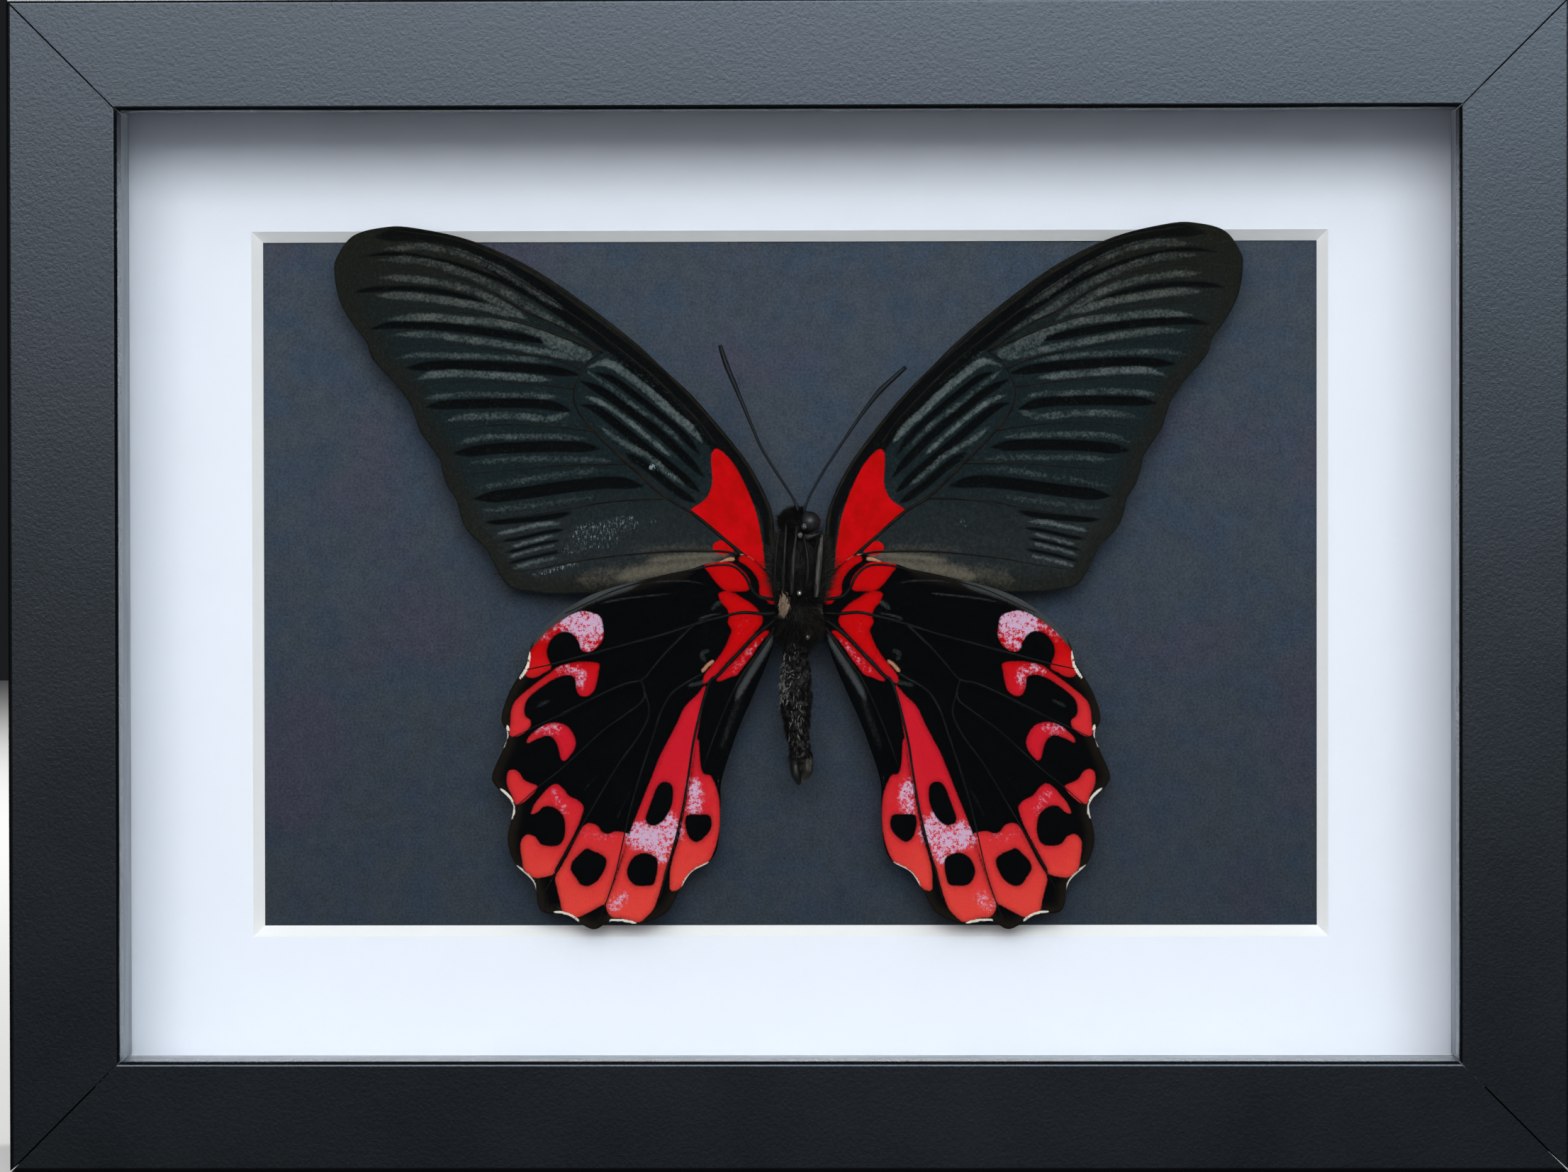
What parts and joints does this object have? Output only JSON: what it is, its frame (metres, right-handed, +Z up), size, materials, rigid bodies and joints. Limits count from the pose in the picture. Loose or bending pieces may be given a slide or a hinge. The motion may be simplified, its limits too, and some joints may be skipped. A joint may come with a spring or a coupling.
{
  "type": "framed butterfly specimen",
  "caption": "Box frame with a bevelled window mat displaying a spread butterfly raised on a pin behind glass; stands on its lower edge or hangs on a wall.",
  "frame": {"origin": "middle of the footprint of the frame's lower edge, on the surface it stands on", "axes": "+Z up, front facing -Y, +X to the viewer's right"},
  "size_m": [0.201, 0.035, 0.151],
  "materials": {
    "frame_lacquer": "satin black lacquer with a fine open grain",
    "glass": "clear float glass",
    "spacer_board": "matt white board strip",
    "mat_board": "matt cool white board with a paler bevelled core",
    "slate_card": "matt slate blue-grey card, faintly mottled",
    "fibreboard": "brown pressed fibreboard",
    "steel": "bright steel",
    "brass": "plated brass",
    "foam": "dark grey foam",
    "insect_body": "black-brown scales and hair",
    "forewing": "black wing scales with grey-green dusted streaks and a red base",
    "hindwing": "black wing scales with scarlet rings and lilac dusting",
    "chitin": "dark dry chitin"
  },
  "bodies": {
    "root": {"rail_top": "frame_lacquer", "rail_bottom": "frame_lacquer", "rail_left": "frame_lacquer", "rail_right": "frame_lacquer", "glass": "glass", "spacer_top": "spacer_board", "spacer_bottom": "spacer_board", "spacer_left": "spacer_board", "spacer_right": "spacer_board", "window_mat": "mat_board", "backing_card": "slate_card", "backboard": "fibreboard", "point_top_left": "steel", "point_top_right": "steel", "point_bottom_left": "steel", "point_bottom_right": "steel", "point_left": "steel", "point_right": "steel", "hanger": "brass", "nail_left": "brass", "nail_right": "brass", "support_block": "foam", "insect_pin": "steel", "thorax": "insect_body", "head": "insect_body", "abdomen": "insect_body", "forewing_left": "forewing", "forewing_right": "forewing", "hindwing_left": "hindwing", "hindwing_right": "hindwing", "antenna_left": "chitin", "antenna_right": "chitin", "leg_fore_left": "chitin", "leg_fore_right": "chitin", "leg_middle_left": "chitin", "leg_middle_right": "chitin", "leg_hind_left": "chitin", "leg_hind_right": "chitin"}
  },
  "joints": []
}
